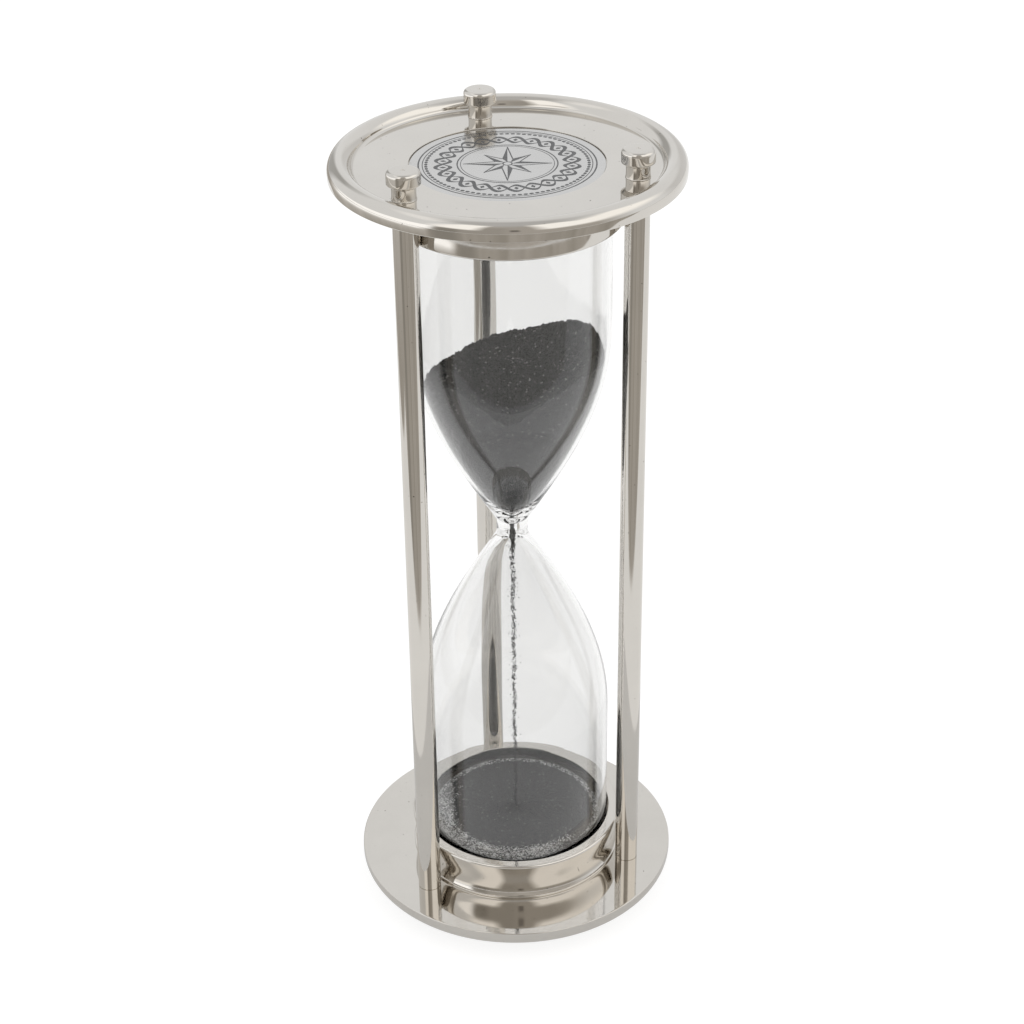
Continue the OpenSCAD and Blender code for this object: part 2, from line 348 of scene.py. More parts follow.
def bead_and_floor():
    """Profile from the floor to the flat face, with that face at height 0. The bead is most
    of a circle, and the floor meets it in a small fillet of the same slope."""
    mid_r, mid_z = plate_r - bead_round_r, bead_round_r - bead_h
    t, slope = math.radians(bead_turn), math.radians(bead_turn - 90)
    cut_r, cut_z = mid_r + bead_round_r * math.cos(t), mid_z - bead_round_r * math.sin(t)
    fillet = (-cut_z - web_t) / (1 - math.cos(slope))
    floor_r = cut_r - fillet * math.sin(slope)
    curve = arc((floor_r, -web_t - fillet), (fillet, fillet), 90, 180 - bead_turn, 14)
    bead = arc((mid_r, mid_z), (bead_round_r, bead_round_r), -bead_turn, 0, 48)
    side = arc((plate_r - 0.5, mid_z), (0.5, 3.0), 0, 24, 6)
    edge_r, edge_z = side[-1]
    corner = arc((edge_r - 0.15, edge_z), (0.15, -edge_z), 0, 90, 6)
    face = run((edge_r - 0.15, 0), (0, 0), 18)
    return floor_r, joined(curve, bead, side, corner, face)


floor_r, rim_profile = bead_and_floor()
plain = joined(run((0, -web_t), (floor_r, -web_t), 18), rim_profile)
lip = -web_t + pocket_h
pocket = joined(
    run((0, lip), (pocket_r, lip), 14),
    run((pocket_r, lip), (pocket_r, -web_t + 0.08), 3),
    arc((pocket_r + 0.08, -web_t + 0.08), (0.08, 0.08), 180, 270, 4),
    run((pocket_r + 0.08, -web_t), (floor_r, -web_t), 14),
    rim_profile,
)
print(f"floor radius {floor_r:.2f}, pocket {pocket_r:.2f} x {pocket_h:.2f}")

# %% Plates
low_plate = plain + (0, low_face)
top_plate = turned_over(pocket + (0, low_face))
make_piece("plate_lower", "bottom_plate", turned_nickel, [stitch(turned(low_plate, 288))])
make_piece("plate_upper", "top_plate", turned_nickel, [stitch(turned(top_plate, 288))])

# %% [markdown]
# ## The two collars
# Each end of the bulb sits in a turned ring shaped like a low spool: a thin foot flange on
# the plate, then one long hollow curve that opens to a rounded rim. The curve is a Bezier
# curve of four handles. The ring is a closed loop in profile: its last row joins its first.

# %% Collars
collar_h = corners("bottom_collar")[1][2] - low_face
bore_r, flange_h, rim_round = 22.9, 0.55, 0.55
cove = np.array([(collar_r, collar_h - rim_round), (25.2, 5.6), (23.5, 2.8), (24.9, flange_h)])
share = np.linspace(0, 1, 41)[::-1, None]
rest = 1 - share
weights = np.hstack([rest ** 3, 3 * share * rest ** 2, 3 * share ** 2 * rest, share ** 3])
ring = joined(
    run((bore_r, 0), (collar_r - 0.1, 0), 3),
    arc((collar_r - 0.1, 0.1), (0.1, 0.1), -90, 0, 3),
    run((collar_r, 0.1), (collar_r, flange_h - 0.12), 3),
    arc((collar_r - 0.12, flange_h - 0.12), (0.12, 0.12), 0, 90, 4),
    weights @ cove,
    arc((collar_r - rim_round, collar_h - rim_round), (rim_round, rim_round), 0, 90, 10),
    run((collar_r - rim_round, collar_h), (bore_r + 0.2, collar_h), 3),
    arc((bore_r + 0.2, collar_h - 0.2), (0.2, 0.2), 90, 180, 5),
    run((bore_r, collar_h - 0.2), (bore_r, 0.4), 5),
)
low_ring = ring + (0, low_face)
for name, node, profile in (
    ("collar_lower", "bottom_collar", low_ring),
    ("collar_upper", "top_collar", turned_over(low_ring)),
):
    make_piece(name, node, mopped_nickel, [stitch(turned(profile, 224), loop=True)])

# %% [markdown]
# ## Posts
# Three straight rods hold the plates apart. Each rod has a shoulder that the plate rests on,
# and a thinner threaded stud that passes through the plate into the nut. The tiny chamfer
# at the shoulder gives the dark hairline one sees at the foot of such a post.

# %% Posts
post_r, stud_r, break_w = 2.7, 1.5, 0.14
stud_low, stud_high = corners("post_left")[0][2], corners("post_left")[1][2]
rod = joined(
    run((0, stud_low), (stud_r - 0.2, stud_low), 3),
    run((stud_r - 0.2, stud_low), (stud_r, stud_low + 0.2), 2),
    run((stud_r, stud_low + 0.2), (stud_r, low_face), 5),
    run((stud_r, low_face), (post_r - break_w, low_face), 3),
    run((post_r - break_w, low_face), (post_r, low_face + break_w), 2),
    run((post_r, low_face + break_w), (post_r, high_face - break_w), 40),
    run((post_r, high_face - break_w), (post_r - break_w, high_face), 2),
    run((post_r - break_w, high_face), (stud_r, high_face), 3),
    run((stud_r, high_face), (stud_r, stud_high - 0.2), 5),
    run((stud_r, stud_high - 0.2), (stud_r - 0.2, stud_high), 2),
    run((stud_r - 0.2, stud_high), (0, stud_high), 3),
)
for side, spot in places.items():
    make_piece("post_of_" + side, "post_" + side, drawn_nickel, [stitch(turned(rod, 72, spot))])

# %% [markdown]
# ## Finial nuts
# The nuts look the same above and below: a slightly waisted neck, a thin lip, and a short
# fat head with a soft top edge. The small dimple is where the lathe's centre held it. Each
# nut is its own piece on its own body, so it can be unscrewed.

# %% Nuts
nut_low, nut_high = corners("finial_top_left")[0][2], corners("finial_top_left")[1][2]
nut_h = nut_high - nut_low
head_r, neck_r, neck_h = reach("finial_top_left"), 2.7, 2.85
nut = joined(
    run((0, 4.2), (1.55, 4.2), 3),
    run((1.55, 4.2), (1.55, 0.15), 5),
    run((1.55, 0.15), (1.7, 0), 2),
    run((1.7, 0), (neck_r - 0.08, 0), 3),
    arc((neck_r - 0.08, 0.08), (0.08, 0.08), -90, 0, 3),
    arc((neck_r, neck_h / 2), (0.13, neck_h / 2 - 0.1), 270, 90, 18),
    run((neck_r, neck_h - 0.1), (neck_r + 0.22, neck_h), 3),
    run((neck_r + 0.22, neck_h), (head_r - 0.2, neck_h + 0.42), 5),
    arc((head_r - 0.25, neck_h + 0.62), (0.25, 0.25), -45, 0, 5),
    run((head_r, neck_h + 0.62), (head_r, nut_h - 0.9), 5),
    arc((head_r - 0.9, nut_h - 0.9), (0.9, 0.9), 0, 90, 14),
    run((head_r - 0.9, nut_h), (0.45, nut_h), 8),
    arc((0, nut_h), (0.45, 0.2), 0, -90, 6),
)
for side, spot in places.items():
    head_up = nut + (0, nut_low)
    grids = [stitch(turned(head_up, 96, spot))], [stitch(turned(turned_over(head_up), 96, spot))]
    make_piece("nut_upper_" + side, "finial_top_" + side, turned_nickel, grids[0])
    make_piece("nut_foot_" + side, "finial_foot_" + side, turned_nickel, grids[1])

# %% [markdown]
# ## The glass
# A glassblower draws a tube to a narrow neck in the flame and closes both ends. The wall
# keeps tiny swells from the blowing, and the neck is crinkled where the soft glass was
# pinched. So the glass is two skins, outer and inner, each a turned surface whose radius
# has a few slow waves all over and many short ones near the neck. Light bends at both
# skins, which is what makes the edges look dark and the neck sparkle.

# %% Skins of the bulb
glass_wall, taper, pad_t = 1.0, 48.0, 1.6
outer_heel, top_heel, inner_heel = 8.0, 7.0, 9.0
bore_neck_r, outer_neck_r = 0.7, 3.6
waves = np.random.default_rng(11)
slow = waves.uniform(0, 2 * np.pi, (2, 6))
quick_a, quick_z = waves.integers(2, 8, (2, 22)), waves.uniform(0.6, 2.2, (2, 22))
quick_p = waves.uniform(0, 2 * np.pi, (2, 22))


def bulb_r(d, large):
    """Outer radius at distance d from the neck's middle: the neck's radius plus the rest
    along the first quarter of a sine wave over the length of the taper."""
    share = np.clip((np.abs(d) - neck_half) / taper, 0, 1)
    return outer_neck_r + (large - outer_neck_r) * np.sin(share * np.pi / 2)


def swell(a, d, skin):
    """Slow waves of a blown wall: a few low harmonics that drift along the height."""
    k = np.arange(1, 7)
    k, start = k[:, None, None], slow[skin][:, None, None]
    turns = k * a[None] + start + 0.05 * k * d[None]
    return (np.cos(turns) / k ** 1.3).sum(0) * 0.022 * np.clip(np.abs(d) / 30, 0, 1)


def crinkle(a, d, skin):
    """Short waves that fade within a few millimetres of the neck."""
    k, w, p = (v[skin][:, None, None] for v in (quick_a, quick_z, quick_p))
    ripples = np.cos(k * a[None] + w * d[None] + p).sum(0) / 4.7
    return ripples * np.exp(-((d / 4.2) ** 2))


def outer_skin(a, d):
    """Outer radius at angle a and distance d above the neck's middle."""
    return bulb_r(d, glass_r - 0.06) + swell(a, d, 0) + 0.05 * crinkle(a, d, 0)


def inner_skin(a, d):
    """Inner radius at angle a and distance d above the neck's middle: the outer radius
    less the wall, which is thick at the neck and thins out by e in every 3 mm."""
    extra = outer_neck_r - bore_neck_r - glass_wall
    wall = glass_wall + extra * np.exp(-np.clip(np.abs(d) - neck_half, 0, None) / 3.0)
    return bulb_r(d, glass_r) - wall + swell(a, d, 1) + 0.025 * crinkle(a, d, 1)


print("outer radius 20 mm above the neck:", outer_skin(np.zeros((1, 1)), np.full((1, 1), 20.0)))

# %% Glass grid
up_reach = high_face - pad_t - neck_z
down_reach = neck_z - low_face - pad_t
angles = np.linspace(0, 2 * np.pi, 168, endpoint=False)[None]


def bulb_grid(skin, inset, low_heel, high_heel):
    """Grid of one skin from its lowest pole to its highest. Inset is the distance of this
    skin from the outside: each heel is a quarter circle, and each end is flat."""
    low, high = -(down_reach - inset), up_reach - inset
    fine = np.linspace(0, 1, 60)
    walls = np.concatenate([
        np.linspace(low + low_heel, -(neck_half + taper), 14)[:-1],
        -neck_half - taper * (1 - fine) ** 1.25,
        np.linspace(-neck_half, neck_half, 10)[1:-1],
        neck_half + taper * fine ** 1.25,
        np.linspace(neck_half + taper, high - high_heel, 12)[1:],
    ])
    side = np.stack([skin(angles, walls[:, None]), walls[:, None] + 0 * angles], -1)
    bend = np.linspace(0, np.pi / 2, 12)[1:, None]
    ends = []
    for edge, way, heel in ((side[0], -1, low_heel), (side[-1], 1, high_heel)):
        r = edge[None, :, 0] - heel * (1 - np.cos(bend))
        z = edge[None, :, 1] + way * heel * np.sin(bend)
        shrink = np.array([0.92, 0.75, 0.5, 0.25, 0.0])[:, None]
        flat = np.stack([r[-1:] * shrink, z[-1:] + 0 * shrink], -1)
        ends.append(np.concatenate([np.stack([r, z], -1), flat]))
    rows = np.concatenate([ends[0][::-1], side, ends[1]])
    r, z = rows[..., 0], rows[..., 1] + neck_z
    return np.stack([r * np.cos(angles), r * np.sin(angles), z], -1)


outside = stitch(bulb_grid(outer_skin, 0.0, outer_heel, outer_heel))
inside = stitch(bulb_grid(inner_skin, glass_wall, inner_heel, top_heel)[::-1])
print("skins:", len(outside[0]), "and", len(inside[0]), "points")

# %% [markdown]
# ## Clear glass
# The glass itself is plain Principled glass with an index of 1.5 and no roughness. Real
# blown glass is never perfect, so a very slow bump bends the reflections a little, and a
# faint film of dust scatters light in patches.

# %% Glass finish
clear_glass, shader = new_finish("clear_glass", {
    "Transmission Weight": 1.0, "IOR": 1.5, "Base Color": (0.90, 0.90, 0.896, 1),
})
tree = clear_glass.node_tree
spot = places_on(tree, (1, 1, 0.5))
film = spread(tree, cloud(tree, places_on(tree), 45, 5, 0.65), 0.6, 0.8, 0.0, 0.01)
shape = dent(tree, cloud(tree, spot, 60, 1), 0.012 * mm)
plug(clear_glass, shader, {"Roughness": film, "Normal": shape})
make_piece("glass", "glass_bulb", clear_glass, [outside, inside], crease=60)

# %% [markdown]
# ## Felt discs
# The flat ends of the bulb don't touch the metal: a thin disc of felt takes up the slack
# in each collar. The discs are turned with a soft edge, and the felt is a pale grey wool
# with a fuzz that catches light at a low angle.

# %% Felt
felt, shader = new_finish("felt", {"Roughness": 0.95, "Sheen Weight": 0.4, "Sheen Roughness": 0.5})
tree = felt.node_tree
wool = cloud(tree, places_on(tree), 2600, 5, 0.7)
patch = cloud(tree, places_on(tree), 250, 3)
tone = two_tone(tree, wool, (0.52, 0.51, 0.48, 1), (0.80, 0.79, 0.76, 1))
tone = two_tone(tree, spread(tree, patch, 0.4, 0.7, 0, 0.4), tone, (0.50, 0.48, 0.45, 1))
plug(felt, shader, {"Base Color": tone, "Normal": dent(tree, wool, 0.12 * mm)})
pad_r = reach("bottom_felt")
disc = joined(
    run((0, 0), (pad_r - 0.3, 0), 10),
    arc((pad_r - 0.3, 0.4), (0.3, 0.4), -90, 0, 5),
    arc((pad_r - 0.3, pad_t - 0.4), (0.3, 0.4), 0, 90, 5),
    run((pad_r - 0.3, pad_t), (0, pad_t), 10),
)
make_piece("felt_lower", "bottom_felt", felt, [stitch(turned(disc + (0, low_face), 120))])
make_piece("felt_upper", "top_felt", felt,
           [stitch(turned(turned_over(disc + (0, low_face)), 120))])

# %% [markdown]
# ## The sand above
# The sand has run out through the middle and left a crater with a loose, grainy slope. Where
# it leans on the glass it is higher on one side, with a notch at the front, and it looks
# smoother there because the grains lie flat against the wall. The shape is a function of
# the bearing round the axis: first the height of the line where the sand meets the glass,
# then a slope from that line down to the middle. A fine random step along the edge keeps
# it from looking like cut cardboard.


# %% Line of the sand on the glass
def ramp_up(x):
    """Smooth step from 0 to 1 as x goes from 0 to 1."""
    x = np.clip(x, 0, 1)
    return x * x * (3 - 2 * x)


line_at = [5, 26, 47, 78, 102, 130, 173, 205, 236, 256, 269, 288, 312, 335]
line_height = [133.9, 135.7, 134.5, 130.2, 128.8, 126.5, 126.0, 130.5, 134.8, 129.4, 125.9,
               131.4, 135.3, 134.8]


def heap_line(deg):
    """Height of the sand on the glass above the lower face: straight steps between the
    heights that stand for each bearing, averaged over six degrees to round them off."""
    blur = np.linspace(-3, 3, 9)[:, None]
    return np.interp(np.ravel(deg)[None] + blur, line_at, line_height, period=360).mean(0)


test = np.array([-150, -126, -90, -59, -32, -3, 44, 89, 142, 180])
print("line of the heap:", dict(zip(test.tolist(), heap_line(test).round(1).tolist())))

# %% Grid of the upper sand
gap = 0.06
round_steps, wall_rows, slope_rows = 480, 70, 56
grit = np.random.default_rng(5)
around = np.linspace(0, 2 * np.pi, round_steps, endpoint=False)[None]
fine_steps = grit.normal(0, 0.13, (1, round_steps))
jagged = fine_steps + grit.normal(0, 0.12, (1, round_steps // 3)).repeat(3, 1)
edge_z = heap_line(np.degrees(around))[None] + jagged + low_face - neck_z
apex_z = 118.0 + low_face - neck_z


def upper_sand():
    """Rows from the pole in the neck, up the wall to the edge, then inwards on the slope.
    The slope is a cone to the middle, plus the edge's own rise, which fades with the
    distance from the axis to the power of two and a half."""
    up = np.linspace(0, 1, wall_rows)[:, None]
    wall_z = neck_half + (edge_z - neck_half) * up ** 1.15
    wall = np.stack([inner_skin(around + 0 * up, wall_z) - gap, wall_z], -1)
    foot = np.stack([wall[:1, :, 0] * 0, wall[:1, :, 1]], -1)
    share = np.linspace(1, 0, slope_rows)[1:, None] ** 0.8
    rim_r, plain_rise = wall[-1, :, 0], 131.0 + low_face - neck_z
    cone = apex_z + (plain_rise - apex_z) * share
    lean = (edge_z - plain_rise) * share ** 2.5
    loose = grit.normal(0, 0.05, (slope_rows - 1, round_steps)) * (share > 0)
    slope = np.stack([rim_r * share, cone + lean + loose], -1)
    rows = np.concatenate([foot, wall, slope])
    r, z = rows[..., 0], rows[..., 1] + neck_z
    return np.stack([r * np.cos(around), r * np.sin(around), z], -1)


heap_grid = upper_sand()
print("heap:", heap_grid.shape, "top at", heap_grid[..., 2].max().round(2))

# %% [markdown]
# ## Dark sand
# The sand is ground black stone: grains of a third of a millimetre, most of them dark
# grey, a few pale, a few shiny. A fine cell pattern gives each grain its own tone, and a bump of
# the same size lets light rake over them. A first point attribute is 1 where the sand lies
# close against glass or has settled level, and makes it more even and paler there. Where it
# is 0, on the loose slope of the crater and in the stream, the sand is painted much darker,
# partly for its looser grains and partly as painted shade. A second attribute is for the pale
# dust that settles at the edge of the bed, and also carries painted light on the bed's unlit
# side and painted glints at its rim.

# %% Sand finish
dark_sand, shader = new_finish("dark_sand", {"IOR": 1.45})
tree = dark_sand.node_tree
spot = places_on(tree)
grains = add_step(tree, "TexVoronoi", {"Vector": spot, "Scale": 2900.0})
own = add_step(tree, "SeparateColor", {"Color": grains.outputs["Color"]}).outputs[0]
pressed_and_lit = add_step(tree, "Attribute", attribute_name="pressed_and_lit").outputs["Fac"]
dust_and_painted_light = add_step(tree, "Attribute", attribute_name="dust_and_painted_light").outputs["Fac"]
# Painted shade: sand off the glass is painted far darker than sand against it, partly for its
# looser grains and partly for the shade in the crater and between grains.
shaded_loose_tone = spread(tree, own, 0.2, 1.0, 0, 1)
shaded_loose_tone = two_tone(tree, shaded_loose_tone, (0.001, 0.001, 0.001, 1), (0.060, 0.058, 0.056, 1))
lit_close_tone = two_tone(tree, own, (0.045, 0.045, 0.046, 1), (0.085, 0.085, 0.086, 1))
tone = two_tone(tree, pressed_and_lit, shaded_loose_tone, lit_close_tone)
pale = spread(tree, own, 0.965, 0.985, 0.0, 0.7)
tone = two_tone(tree, pale, tone, (0.30, 0.29, 0.28, 1))
flecks = add_step(tree, "TexVoronoi", {"Vector": spot, "Scale": 4300.0})
fleck = add_step(tree, "SeparateColor", {"Color": flecks.outputs["Color"]}).outputs[1]
drifts = spread(tree, cloud(tree, spot, 420, 4, 0.7), 0.3, 0.7, 0.35, 1.0)
# Pale specks: real dust, plus painted light on the unlit side of the lower bed and painted glints
# at its rim.
crowd = add_step(tree, "Math", {0: dust_and_painted_light, 1: drifts}, operation="MULTIPLY").outputs[0]
limit = add_step(tree, "Math", {0: 1.0, 1: crowd}, operation="SUBTRACT").outputs[0]
over = add_step(tree, "Math", {0: fleck, 1: limit}, operation="SUBTRACT").outputs[0]
light = two_tone(tree, own, (0.26, 0.26, 0.255, 1), (0.80, 0.80, 0.79, 1))
tone = two_tone(tree, spread(tree, over, 0.03, 0.08, 0.0, 1.0), tone, light)
rough = spread(tree, own, 0.0, 1.0, 0.45, 0.9)
shape = dent(tree, grains.outputs["Distance"], -0.10 * mm)
shape = dent(tree, cloud(tree, spot, 500, 3), 0.15 * mm, shape)
plug(dark_sand, shader, {"Base Color": tone, "Roughness": rough, "Normal": shape})
print("sand grains per metre:", 2900)


# %% Upper sand
def mark_points(piece, name, values):
    """Writes one number for each point as an attribute that a finish can read."""
    layer = piece.data.attributes.new(name, "FLOAT", "POINT")
    layer.data.foreach_set("value", values.astype(np.float32))


surface = stitch(heap_grid)
heap = make_piece("sand_heap", "sand_upper", dark_sand, [surface], crease=180)
first_slope = 1 + wall_rows * round_steps
# Sand against the glass is marked for the paler tone. The slope of the crater keeps the darker
# tone, which is partly painted shade.
lit_where_leaning = (np.arange(len(surface[0])) < first_slope).astype(float)
mark_points(heap, "pressed_and_lit", lit_where_leaning)
mark_points(heap, "dust_and_painted_light", 0 * lit_where_leaning)

# %% [markdown]
# ## The sand below
# The sand that has run through lies almost level, with a low mound under the stream. Its
# underside follows the rounded heel of the glass. At the left front a crescent of pale
# dust has settled against the wall. Pale specks are also painted on the side of the bed round
# the heel, as painted light where that side gets almost no light, and in a narrow ring round
# the top, as painted glints where the sand meets the glass.

# %% Lower sand
sand_top = corners("sand_lower")[1][2]
heel_mid_z = low_face + pad_t + glass_wall + inner_heel
base_rows, heel_rows, top_rows = 6, 14, 60


def lower_sand():
    """Rows from the pole on the glass floor, out round the heel up to the sand's edge, then
    inwards over the level top, which rises by a bell curve in the middle."""
    heel_r = inner_heel - gap
    reach_r = inner_skin(around, 0 * around + heel_mid_z - neck_z) - inner_heel
    out = np.linspace(0, 1, base_rows)[:, None]
    base = np.stack([reach_r * out, 0 * around + heel_mid_z - heel_r + 0 * out], -1)
    last = -math.asin((heel_mid_z - sand_top + 0.35) / heel_r)
    bend = np.linspace(-np.pi / 2, last, heel_rows)[:, None]
    heel_z = heel_mid_z + heel_r * np.sin(bend) + 0 * around
    heel = np.stack([reach_r + heel_r * np.cos(bend), heel_z], -1)
    share = np.linspace(1, 0, top_rows)[1:, None] ** 0.85
    mound = 0.5 * np.exp(-((share * 20 / 6.0) ** 2))
    roll = 0.12 * np.cos(3 * around + 1.0) * share ** 2 * (1 - share) * 4
    loose = grit.normal(0, 0.05, (top_rows - 1, round_steps)) * (share > 0)
    level_z = sand_top - 0.3 + mound + roll * (share > 0) + loose
    top = np.stack([heel[-1, :, 0] * share, level_z], -1)
    rows = np.concatenate([base, heel[1:], top])
    r, z = rows[..., 0], rows[..., 1]
    return np.stack([r * np.cos(around), r * np.sin(around), z], -1)


bed_grid = lower_sand()
surface = stitch(bed_grid)
first_top = 1 + (base_rows - 1 + heel_rows - 1) * round_steps
bed = make_piece("sand_bed", "sand_lower", dark_sand, [surface], crease=180)
x, y, z = surface[0].T
r, deg = np.hypot(x, y), np.degrees(np.arctan2(y, x))
near_wall = ramp_up((r - 14.0) / 3.0)
from_middle = np.abs((deg + 125 + 180) % 360 - 180)
front_left = 1 - ramp_up((from_middle - 45) / 60)
# Painted glints in a narrow ring at the rim, and painted light on the side of the bed round the
# heel, which lies in shade. The crescent at the left front is real dust.
painted_glint_ring = ramp_up((r - 18.9) / 0.5)
painted_light_under_edge = (np.arange(len(r)) < first_top) & (r > 12)
mark_points(bed, "pressed_and_lit", np.full(len(r), 1.0))
dust_and_light_share = np.maximum(near_wall * front_left, 0.75 * painted_glint_ring) + painted_light_under_edge
mark_points(bed, "dust_and_painted_light", dust_and_light_share)
print("bed: top", z.max().round(2))

# %% [markdown]
# ## The stream
# Sand leaves the neck as a solid plug, then it breaks up into strands that cross each other,
# with a few stray grains beside them. The plug is a thin turned surface with a rough skin.
# Below it each grain is an icosahedron of twenty faces, copied to its place as one array.

# %% Stream
fall = np.random.default_rng(3)
thread_top, thread_end = neck_z + neck_half - 0.1, neck_z - 8.0
stream_low = sand_top - 0.1


def thread():
    """A tube that is widest just below the neck and thins to a point, with a rough skin."""
    z = np.linspace(thread_end, thread_top, 90)[:, None]
    a = np.linspace(0, 2 * np.pi, 20, endpoint=False)[None]
    drop = (thread_top - z) / (thread_top - thread_end)
    r = 0.40 + 0.16 * np.exp(-(((drop - 0.36) / 0.12) ** 2)) - 0.36 * ramp_up((drop - 0.4) / 0.6)
    r = np.maximum(r + fall.normal(0, 0.09, (90, 20)), 0.02)
    r[[0, -1]] = 0
    x = 0.12 * drop * np.sin(0.75 * z) + r * np.cos(a)
    y = 0.12 * drop * np.cos(0.61 * z) + r * np.sin(a)
    return np.stack([x, y, z + 0 * a], -1)


def ball():
    """The twelve corners and twenty faces of an icosahedron of radius 1."""
    g = (1 + 5 ** 0.5) / 2
    flat = [(-1, g), (1, g), (-1, -g), (1, -g)]
    tips = [(a, b, 0) for a, b in flat] + [(0, a, b) for a, b in flat]
    tips += [(b, 0, a) for a, b in flat]
    faces = [(0, 11, 5), (0, 5, 1), (0, 1, 7), (0, 7, 10), (0, 10, 11), (1, 5, 9), (5, 11, 4),
             (11, 10, 2), (10, 7, 6), (7, 1, 8), (3, 9, 4), (3, 4, 2), (3, 2, 6), (3, 6, 8),
             (3, 8, 9), (4, 9, 5), (2, 4, 11), (6, 2, 10), (8, 6, 7), (9, 8, 1)]
    return np.array(tips) / math.hypot(1, g), np.array(faces)


def scatter(spots, sizes):
    """Copies of the ball at each spot, each with its own size."""
    shape, faces = ball()
    points = spots[:, None] + shape[None] * sizes[:, None, None]
    tris = faces[None] + 12 * np.arange(len(spots))[:, None, None]
    return points.reshape(-1, 3), np.zeros((0, 4), int), tris.reshape(-1, 3)


count = 3300
drop = fall.uniform(0, 1, count) ** 1.2
z = neck_z - 2.5 - (neck_z - 2.5 - stream_low) * drop
clump = 0.5 + 0.5 * np.sin(2.6 * z + 2.2 * np.sin(0.37 * z))
kept = fall.uniform(0, 1, count) < 0.4 + 0.6 * clump
drop, z = drop[kept], z[kept]
strand = fall.integers(0, 3, len(z)) * 2.1
braid = 0.33 * (1 - drop) ** 0.7 + 0.06
strays = np.where(fall.uniform(0, 1, len(z)) > 0.88, 4.0, 1.0) * (0.12 + 0.05 * drop)
aside_x, aside_y = fall.normal(0, 1, len(z)) * strays, fall.normal(0, 1, len(z)) * strays
x = braid * np.sin(0.9 * z + strand) + aside_x + 0.12 * np.sin(0.55 * z)
y = braid * np.cos(0.8 * z + strand) + aside_y + 0.12 * np.cos(0.41 * z)
grain_spots = np.stack([x, y, z], 1)
grain_sizes = fall.uniform(0.07, 0.14, len(z))
stream = make_piece("sand_thread", "sand_stream", dark_sand,
                    [stitch(thread()), scatter(grain_spots, grain_sizes)], crease=180)
points_in = len(stream.data.vertices)
mark_points(stream, "pressed_and_lit", np.zeros(points_in))
mark_points(stream, "dust_and_painted_light", np.zeros(points_in))

# %% [markdown]
# ## The medallion
# A thin disc of brighter metal lies in the pocket of the upper plate. Its face has a fine
# grain from the press. The drawing is etched and filled with black enamel, level with the
# metal. Each line of the drawing is a shallow closed slab that stands a hundredth of a
# millimetre proud, so that the two faces never fight.

# %% Medallion
medal_low, medal_top = corners("medallion")[0][2], corners("medallion")[1][2]
coin = joined(
    run((0, medal_low), (medal_r - 0.05, medal_low), 10),
    run((medal_r - 0.05, medal_low), (medal_r, medal_low + 0.05), 2),
    run((medal_r, medal_low + 0.05), (medal_r, medal_top - 0.08), 2),
    arc((medal_r - 0.08, medal_top - 0.08), (0.08, 0.08), 0, 90, 4),
    run((medal_r - 0.08, medal_top), (0, medal_top), 16),
)
medal_nickel = nickel("medal_nickel", (0.60, 0.592, 0.58), (1, 1, 1), 0.12, 0.004)
make_piece("medal", "medallion", medal_nickel, [stitch(turned(coin, 224))])

# %% [markdown]
# ## The drawing on the medallion
# The drawing is a generic mariner's pattern: two fine rings, a rope of small beads, a
# braid of two strands, and a compass rose whose points are half filled. A band is made by
# carrying a width along a closed path; a point of the rose is a flat triangle. All of them
# go through one helper that gives a flat outline its small thickness.


# %% Slabs and bands
def band(radius, width, steps=256, lift=0.0):
    """A closed band: at each angle it runs from radius - width/2 to radius + width/2."""
    a = np.linspace(0, 2 * np.pi, steps, endpoint=False)
    inner, outer = radius(a) - width(a) / 2, radius(a) + width(a) / 2
    top, low = medal_top + 0.012 + lift, medal_top - 0.06
    rows = [(inner, low), (outer, low), (outer, top), (inner, top)]
    grid = [np.stack([r * np.cos(a), r * np.sin(a), z + 0 * a], -1) for r, z in rows]
    return stitch(np.stack(grid), loop=True)


def slab(outline):
    """A flat convex shape with its corners counter-clockwise, as a thin closed slab."""
    n = len(outline)
    top = np.column_stack([outline, np.full(n, medal_top + 0.012)])
    low = np.column_stack([outline, np.full(n, medal_top - 0.06)])
    k = np.arange(1, n - 1)
    fan = np.stack([0 * k, k, k + 1], 1)
    i = np.arange(n)
    sides = np.stack([i + n, (i + 1) % n + n, (i + 1) % n, i], 1)
    tris = np.concatenate([fan, fan[:, ::-1] + n])
    return np.concatenate([top, low]), sides, tris


def placed(outline, deg, out=0.0):
    """An outline moved out along x, then turned round the middle."""
    c, s = math.cos(math.radians(deg)), math.sin(math.radians(deg))
    x, y = outline[:, 0] + out, outline[:, 1]
    return np.column_stack([x * c - y * s, x * s + y * c])


def plain_ring(radius, width):
    """A band of even width."""
    return band(lambda a: radius + 0 * a, lambda a: width + 0 * a)


# %% Drawing
t = np.linspace(0, 2 * np.pi, 14, endpoint=False)
bead_shape = np.column_stack([0.36 * np.cos(t), 0.50 * np.sin(t)])
rings = ((18.8, 0.34), (17.95, 0.2), (10.6, 0.3), (9.9, 0.16))
drawing = [plain_ring(radius, width) for radius, width in rings]
drawing += [slab(placed(bead_shape, 360 * i / 88, 17.2)) for i in range(88)]
for i, shift in enumerate((0.0, np.pi)):
    drawing.append(band(lambda a: 13.7 + 1.55 * np.sin(12 * a + shift),
                        lambda a: 0.85 + 0.45 * np.cos(12 * a + shift), 720, 0.002 * i))
lozenge = np.array([(0.75, 0), (0, 0.5), (-0.75, 0), (0, -0.5)])
drawing += [slab(placed(lozenge, 7.5 + 15 * i, 13.7)) for i in range(24)]
print(len(drawing), "shapes so far")


